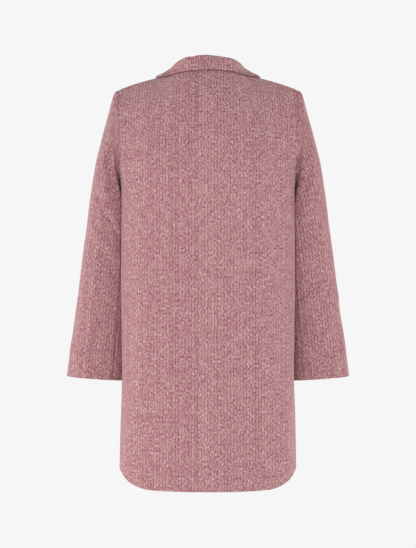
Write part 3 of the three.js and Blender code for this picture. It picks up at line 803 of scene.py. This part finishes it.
def makeSleeve(side, part, look):
    first, last = sleeves["backSeam"], sleeves["frontSeam"]
    if part == "top":
        first, last = last - 360, first
    turns = mix(first, last, closeShares(sleeves["wide"][part], sleeves["step"]))
    along = closeShares(sleeves["long"], sleeves["step"])
    base = sleeveGrid(turns, along)
    far = toEdges(base)
    u, v = flatPattern(base, int(np.argmin(np.abs(turns - sleeves["grainAt"][part]))), 0)
    around = np.broadcast_to(turns * sleeves["perDegree"], u.shape)
    down = np.broadcast_to(-along[:, None] * sleeves["long"], u.shape)
    rows = sleeveFolds[side]
    whole = 360 * sleeves["perDegree"]
    high = relief(around, down, rows, 40 if side == "left" else 52, sleeves["rough"])
    high += sum(crease(around - whole, down, row) for row in rows)
    high *= sleeves["creased"] * (1 - sleeves["clean"] * bulge(around, 0, sleeves["cleanWide"]))
    high *= ease(far["top"] / 26) * ease(np.minimum(far["left"], far["right"]) / 5 + 0.45)
    # the head is eased in, so it stands a little full
    outer = over(np.abs(np.broadcast_to(turns, u.shape)), sleeves["headTurn"], -30)
    high += sleeves["full"] * bulge(far["top"], sleeves["fullIn"], 8) * outer
    base = base - gridNormals(base) * high[..., None]
    base = keptClear(base, along)
    kinds = {"left": "seam", "right": "seam", "top": "armhole", "bottom": "fold"}
    sewSide(f"sleeve_{part}", side, look, base, -1, kinds, (u, v), clothMm, hemWide=hems["sleeve"], seed=9)


lapels = {
    "tipRollZ": -98, "tipOut": 84, "notchOut": 44, "overhang": 5, "leftFromZ": -268,
    "rollWide": 9, "rollDrop": 3.2, "wide": 80, "step": 3.2, "rough": 0.5,
    "stitchIn": 6, "stitchDeep": 0.35, "fullIn": 9, "full": 0.45,
}
allFolded = dict.fromkeys(("left", "right", "top", "bottom"), "fold")


def makeLapel(side, look):
    under = side == "left"
    startZ = lapels["leftFromZ"] if under else shape["breakZ"] + 4
    heights = np.concatenate([
        np.linspace(startZ, lapels["tipRollZ"], 60), np.linspace(lapels["tipRollZ"], shape["gorgeZ"], 20)[1:],
    ])
    shares = closeShares(lapels["wide"], lapels["step"])
    rows = []
    for z in heights:
        up = (z - shape["breakZ"]) / (lapels["tipRollZ"] - shape["breakZ"])
        topped = max(0.0, (z - lapels["tipRollZ"]) / (shape["gorgeZ"] - lapels["tipRollZ"]))
        reach = lapels["tipOut"] * up**0.92 if up < 1 else mix(lapels["tipOut"], lapels["notchOut"], topped)
        start = -lapels["overhang"] * over(z, shape["breakZ"], 120)
        if under:
            start = max(2 - 2 * frontEdgeX(z) + lapels["overhang"], start)
        out = mix(start, max(reach, start + 3), shares)
        lift = np.full_like(out, turnedMm + layerMm)
        if not under or start < 0:
            # the roll: the cloth turns over the front edge
            curl = np.clip(1 - (out - start) / lapels["rollWide"], 0, 1)
            lift -= lapels["rollDrop"] * (1 - np.sqrt(1 - curl**2))
        rows.append(onFront(downAt(z), out, lift, under)[0])
    base = np.stack(rows)
    u, v = flatPattern(base, 0, 0)
    far = toEdges(base)
    # pressed flat along its edge, a little full behind it
    edge = np.minimum(far["right"], far["bottom"])
    high = lapels["full"] * bulge(edge, lapels["fullIn"], 3)
    high = high - lapels["stitchDeep"] * bulge(edge, lapels["stitchIn"], 1.0)
    high = high + lapels["rough"] * lattice(u, v, 42, 61 if under else 62) * ease(edge / 12)
    base = base + gridNormals(base) * high[..., None]
    on = [f"coat_front_{side}"]
    sewSide("lapel", side, look, base, 1, allFolded, (u, v), turnedMm, held="folded", restsOn=on)


collarForm = table(
    "round footOut footUp rise lean roll bulge",
    (-0.4, -1.2, 0.6, 27, 5.5, 5, 1),
    (0, -1.2, 0.6, 27, 5, 5, 1.5),
    (0.4, -1.2, 0.6, 27, 5.5, 5, 1),
    (0.75, -1.2, 0.6, 19.5, 7, 5, 0),
    (1, -1.3, 0.6, 14.5, 8.5, 4.6, -3),
    (1.35, -1.2, -0.4, 9, 9, 4, -1),
    (1.7, -0.9, -1.8, 3, 7, 3.8, 0.5),
    (2, -0.6, -2.5, 0.6, 5.6, 3.4, 1),
)
collarEdgeBack = table(
    "round x y z",
    (-0.3, -35.7, 70.8, -4.7), (0, 0, 79, -3.7), (0.15, 18, 76.8, -4.1), (0.3, 35.7, 70.8, -4.7),
    (0.45, 52.4, 61.9, -5.1), (0.6, 67.3, 49.3, -6.2), (0.7, 75.9, 38.4, -6.3), (0.8, 86.3, 25.5, -6.8),
    (0.9, 99.4, 12.6, -6.1), (1, 112.4, -1, -5.3),
)
collarEdgeFront = table("round out", (1, 34), (1.4, 48), (2, 62))
collarLook = {
    "stitchIn": 5.2, "stitchDeep": 1.0, "fullIn": 9.0, "full": 0.7, "rough": 0.4,
    "wide": 82, "step": 2.6, "backSections": 56, "frontSections": 44, "frontLong": 105,
}


def collarSection(turn, shares):
    row = {key: float(read(collarForm, "round", turn, key)) for key in list(collarForm)[1:]}
    onBack = turn <= 1
    upward = np.array([0.0, 0.0, 1.0])
    if onBack:
        base = bodyGrid("back", [cornerShare * math.sin(turn * math.pi / 2)], [0])[0, 0]
        swing = turn * math.pi / 2
        deep = shape["neckBack"] - shape["shoulderY"]
        outward = unit(np.array([math.sin(swing) / shape["neckHalf"], math.cos(swing) / deep, 0]))
        edge = np.array([float(read(collarEdgeBack, "round", turn, key)) for key in "xyz"])
    else:
        down = downAt(mix(-1, shape["gorgeZ"], turn - 1))
        base = bodyGrid("front", [0], [down])[0, 0]
        outward = unit(bodyGrid("front", [0.08], [down])[0, 0] - base)
        _, normal = onFront(down, 0.5, 0)
        upward = mix(upward, normal[0], over(turn, 1, 0.6))
        upward = unit(upward - outward * float(upward @ outward))
        out = read(collarEdgeFront, "round", turn, "out")
        edge = onFront(down, out, turnedMm / 2 + 2 * layerMm)[0][0]
    tilt = math.atan2(row["lean"], row["rise"])
    standWay = -math.sin(tilt) * outward + math.cos(tilt) * upward
    rollWay = math.cos(tilt) * outward + math.sin(tilt) * upward
    foot = base + outward * row["footOut"] + upward * row["footUp"]
    top = base - outward * row["lean"] + upward * row["rise"]
    standEnd, fallStart = top - rollWay * row["roll"], top + rollWay * row["roll"]
    fallEnd = mix(edge, top, 0.35) + upward * row["bulge"]
    rising = foot + standWay * float(np.linalg.norm(top - foot)) * 0.4
    t = np.linspace(0, 1, 40)[:, None]
    stand, fall = bezier(foot, rising, standEnd, top, t), bezier(top, fallStart, fallEnd, edge, t)
    return atShares(np.concatenate([stand, fall[1:]])[None], shares)[0]


def makeCollar(look):
    shares = closeShares(collarLook["wide"], collarLook["step"])
    turns = np.unique(np.concatenate([
        np.linspace(0, 1, collarLook["backSections"]), np.linspace(1, 2, collarLook["frontSections"]),
        2 - np.array(closeLines) / collarLook["frontLong"],
    ]))
    half = np.stack([collarSection(float(turn), shares) for turn in turns])
    grid = np.concatenate([toSide(half, "right")[:0:-1], half])
    normals = gridNormals(grid)
    grid = grid + normals * (turnedMm / 2)
    far = toEdges(grid)
    along, down = lengths(np.swapaxes(grid, 0, 1)).T, lengths(grid)
    middle = len(half) - 1
    u, v = along - along[middle][None, :], -down
    edge = far["right"]
    press = collarLook["full"] * bulge(edge, collarLook["fullIn"], 3)
    press -= collarLook["stitchDeep"] * bulge(edge, collarLook["stitchIn"], 1.1)
    uneven = collarLook["rough"] * lattice(u + 900, v + 900, 38, 71)
    uneven *= ease(edge / 10) * ease(far["left"] / 30)
    grid = grid + normals * (press + uneven)[..., None]
    sew("collar", look, grid, 1, allFolded, (u, v), turnedMm, held="folded", restsOn=["coat_back"])


button = {
    "across": 27, "thick": 4.2, "firstZ": -352, "pitch": 118, "hole": 2.4, "holeOut": 3.4,
    "strands": 3, "strandWide": 0.5, "wine": (70, 30, 40), "brown": (116, 62, 66), "thread": (122, 60, 72),
}
buttonhole = {
    "long": 31, "from": 25.5, "stitchWide": 1.7, "stitches": 58, "threadHalf": 0.29,
    "slit": 0.25, "tacks": 5, "tackPitch": 0.42, "tackHalf": 0.27,
}
heightOf = {name: button["firstZ"] - k * button["pitch"] for k, name in enumerate(("top", "middle", "low"))}


def ringFaces(rings, around, flip=False):
    # the sides of a stack of rings, and a face over each end
    faces = []
    for i in range(rings - 1):
        for k in range(around):
            n = (k + 1) % around
            a, b, c, d = i * around + k, i * around + n, (i + 1) * around + n, (i + 1) * around + k
            faces.append((a, d, c, b) if flip else (a, b, c, d))
    first = tuple(range(around))
    last = tuple((rings - 1) * around + k for k in first)
    return faces + ([first, last[::-1]] if flip else [first[::-1], last])


def onRings(rings, around):
    turns = [2 * math.pi * k / around for k in range(around)]
    return [(r * math.cos(turn), r * math.sin(turn), z) for r, z in rings for turn in turns]


def tube(line, radius, sides=7):
    line = np.asarray(line, float)
    way = unit(np.gradient(line, axis=0))
    aside = unit(np.cross(way, np.array([0.31, 0.17, 0.93])))
    other = np.cross(way, aside)
    turn = np.linspace(0, 2 * math.pi, sides, endpoint=False)
    spokes = np.cos(turn)[None, :, None] * aside[:, None] + np.sin(turn)[None, :, None] * other[:, None]
    points = line[:, None] + radius * spokes
    return points.reshape(-1, 3), ringFaces(len(line), sides)


def joined(name, parts):
    points, faces, start = [], [], 0
    for some, own in parts:
        points.append(some)
        faces += [tuple(start + k for k in face) for face in own]
        start += len(some)
    return newMesh(name, np.concatenate(points) / 1000, faces)


def buttonBody(name):
    radius, half = button["across"] / 2, button["thick"] / 2
    # rings from the dished middle over the rim to the back: share of the radius, height
    outline = [
        (0.55, half - 1.45), (0.66, half - 1.2), (0.74, half - 0.6), (0.8, half - 0.12), (0.87, half),
        (0.94, half - 0.2), (0.985, half - 0.8), (1, half - 1.7), (0.985, 1.1 - half), (0.93, 0.4 - half),
        (0.8, -half),
    ]
    around = 72
    points = onRings([(radius * share, z) for share, z in outline], around)
    piece = newMesh(name, np.array(points) / 1000, ringFaces(len(outline), around, flip=True))
    drills = []
    reach = button["holeOut"] / math.sqrt(2)
    for x, y in ((1, 1), (-1, 1), (-1, -1), (1, -1)):
        drills.append(tube([(x * reach, y * reach, z) for z in (-6, 0, 6)], button["hole"] / 2, 24))
    drill = joined("drill", drills)
    cut = piece.modifiers.new("holes", "BOOLEAN")
    cut.operation, cut.solver, cut.object = "DIFFERENCE", "EXACT", drill
    soften = piece.modifiers.new("soften", "BEVEL")
    soften.width, soften.segments = 0.00018, 2
    soften.limit_method, soften.angle_limit = "ANGLE", math.radians(50)
    bpy.context.view_layer.update()
    solved = bpy.data.meshes.new_from_object(piece.evaluated_get(bpy.context.evaluated_depsgraph_get()))
    piece.modifiers.clear()
    piece.data = solved
    solved.name = name
    bpy.data.objects.remove(drill)
    for polygon in solved.polygons:
        polygon.use_smooth = True
    solved.set_sharp_from_angle(angle=math.radians(40))
    return piece


def seatAt(z):
    seat, normal = onFront(downAt(z), shape["lap"], layerMm + button["thick"] / 2)
    return seat[0] * toRight, normal[0] * toRight


def makeButtons(horn, sewing):
    for spot, z in heightOf.items():
        seat, normal = seatAt(z)
        across = unit(np.cross(np.array([0.0, 0.0, 1.0]), normal))
        upward = np.cross(normal, across)
        turn = Matrix([[*map(float, row)] for row in np.stack([across, upward, normal], axis=1)]).to_4x4()
        turn = Matrix.Translation(Vector(seat / 1000)) @ turn
        piece = buttonBody(f"coat_button_{spot}")
        piece.data.transform(turn)
        place(piece, f"button_{spot}", horn, "button")
        # thread: pairs of holes joined by a few strands that go down into the cloth
        strands = []
        top, low = button["thick"] / 2 - 1.2, -button["thick"] / 2 - 1.2
        reach = button["holeOut"] / math.sqrt(2)
        for side in (-1, 1):
            for k in range(button["strands"]):
                off = (k - (button["strands"] - 1) / 2) * button["strandWide"] * 1.05
                y = side * reach + off
                high = top + 0.35 - 0.12 * abs(k - 1)
                half = [(0.9, y * 0.9, low), (0.94, y, 0), (0.9, y, top - 0.1), (0.55, y, high)]
                line = [(-reach * x, *rest) for x, *rest in half] + [(0, y, high + 0.08)]
                line += [(reach * x, *rest) for x, *rest in half[::-1]]
                fine = atShares(np.array([line], float), np.linspace(0, 1, 30))[0]
                strands.append(tube(fine, button["strandWide"] / 2))
        thread = joined(f"coat_thread_{spot}", strands)
        thread.data.transform(turn)
        place(thread, None, sewing, "button")


def stitch(out, heights, lifts, half):
    # one straight stitch on the right front, at a distance out from its edge
    line = [onFront(downAt(z), out, lift)[0][0] * toRight for z, lift in zip(heights, lifts)]
    return tube(line, half, 6)


def makeButtonholes(look):
    begin, long = buttonhole["from"], buttonhole["long"]
    short, tall = np.linspace(0, 1, 5), np.linspace(-1, 1, 7)
    for spot, z in heightOf.items():
        parts = []
        for side in (1, -1):
            for k, share in enumerate(np.linspace(0, 1, buttonhole["stitches"])):
                count = k if side > 0 else k + buttonhole["stitches"]
                out = begin + share * long + 0.12 * (count % 3 - 1)
                heights = z + side * (buttonhole["slit"] + short * buttonhole["stitchWide"])
                lifts = 0.15 + 0.55 * np.sin(math.pi * (0.1 + 0.8 * short))
                parts.append(stitch(out, heights, lifts, buttonhole["threadHalf"]))
        for end in (begin, begin + long):
            # the bar tack that closes each end
            for k in range(buttonhole["tacks"]):
                heights = z + tall * (buttonhole["stitchWide"] + 0.3)
                lifts = 0.3 + 0.5 * np.cos(tall * 1.3)
                out = end + (k - 2) * buttonhole["tackPitch"]
                parts.append(stitch(out, heights, lifts, buttonhole["tackHalf"]))
        place(joined(f"coat_buttonhole_{spot}", parts), None, look, "herringbone")


def hornLook():
    look, tree, shader = nodesOf("buttonHorn")
    spot = ownPlace(tree)
    streak = shifted(tree, spot, {"Scale": (60, 60, 210), "Rotation": (0.3, 0.5, 0.2)})
    swirl = cloudy(tree, streak, 3.2, 4, 0.6)
    ramped(tree, shader, swirl, [(0.3, linear(*button["wine"])), (0.7, linear(*button["brown"]))])
    worn = cloudy(tree, spot, 900, 2)
    ramped(tree, shader, worn, [(0.3, (0.24,) * 3), (0.8, (0.38,) * 3)], "Roughness")
    dial(shader, {"Coat Weight": 0.25, "Coat Roughness": 0.2})
    return look


def threadLook():
    look, tree, shader = nodesOf("sewingThread")
    twist = tree.nodes.new("ShaderNodeTexWave")
    dial(twist, {"Scale": 900, "Distortion": 2.0})
    tree.links.new(ownPlace(tree), twist.inputs["Vector"])
    tone = button["thread"]
    # the twist's grooves, low in the bump, are painted darker: painted shade
    ramped(tree, shader, twist.outputs[1], [(0.0, linear(*(c * 0.82 for c in tone))), (1.0, linear(*tone))])
    bumped(tree, shader, twist.outputs[1], 1.0, 0.0001)
    dial(shader, {"Roughness": 0.7})
    return look


studio = {
    "cameraY": 2.4, "cameraZ": -0.436, "lens": 72.3,
    "floorZ": -1.45, "floorRadius": 1.35, "floorTones": (0.67, 0.7), "surround": 0.921,
    "softboxes": (
        # x, y, z, width, height, power: behind the coat where the camera is, then in front
        (2.9, 1.1, -1.6, 1.5, 1.2, 57), (-2.9, 1.1, -1.6, 1.5, 1.2, 45), (0.5, 3.2, -1.9, 2.2, 1.2, 31),
        (1.9, -2.2, -0.2, 1.4, 1.8, 26), (-1.9, -2.2, -0.2, 1.4, 1.8, 26),
    ),
}


def makeStudio():
    scene = bpy.context.scene
    camera = bpy.data.objects.new("camera", bpy.data.cameras.new("camera"))
    camera.data.lens = studio["lens"]
    camera.data.clip_end = 50
    camera.location = (0, studio["cameraY"], studio["cameraZ"])
    camera.rotation_euler = (math.pi / 2, 0, math.pi)
    scene.collection.objects.link(camera)
    scene.camera = camera
    scene.view_settings.view_transform = "Standard"
    world = bpy.data.worlds.new("surround")
    world.use_nodes = True
    dial(world.node_tree.nodes["Background"], {"Color": (1, 1, 1, 1), "Strength": studio["surround"]})
    scene.world = world
    for k, (x, y, z, wide, high, power) in enumerate(studio["softboxes"]):
        light = bpy.data.lights.new(f"softbox{k}", "AREA")
        light.shape, light.size, light.size_y, light.energy = "RECTANGLE", wide, high, power
        holder = bpy.data.objects.new(f"softbox{k}", light)
        holder.location = (x, y, z)
        toCoat = Vector((0, 0, -0.45)) - holder.location
        holder.rotation_euler = toCoat.to_track_quat("-Z", "Y").to_euler()
        scene.collection.objects.link(holder)


def makeFloor():
    around, radii = 96, np.linspace(0.12, studio["floorRadius"], 12)
    points = onRings([(r, studio["floorZ"]) for r in radii], around)
    # the middle is closed and the rim is open
    floor = newMesh("floor", points, ringFaces(len(radii), around, flip=True)[:-1])
    look, tree, shader = nodesOf("paleFloor")
    dark, pale = studio["floorTones"]
    ramped(tree, shader, cloudy(tree, ownPlace(tree), 3, 3), [(0.2, (dark,) * 3), (0.8, (pale,) * 3)])
    dial(shader, {"Roughness": 0.8})
    floor.data.materials.append(look)


makeStudio()
makeFloor()
print("studio ready")
makeBack(herringbone("clothBack", 0.0))
print("back ready")
for side, shift in (("left", 0.311), ("right", 0.577)):
    makeFront(side, herringbone(f"clothFront_{side}", shift))
    makeSleeve(side, "top", herringbone(f"clothSleeveTop_{side}", shift + 0.831))
    makeSleeve(side, "under", herringbone(f"clothSleeveUnder_{side}", shift + 1.417))
    makeLapel(side, herringbone(f"clothLapel_{side}", shift + 2.213))
    print(f"{side} front, sleeve and lapel ready")
makeCollar(herringbone("clothCollar", 3.119))
print("collar ready")
sewing = threadLook()
makeButtons(hornLook(), sewing)
makeButtonholes(sewing)
print("buttons ready")

bpy.context.view_layer.update()
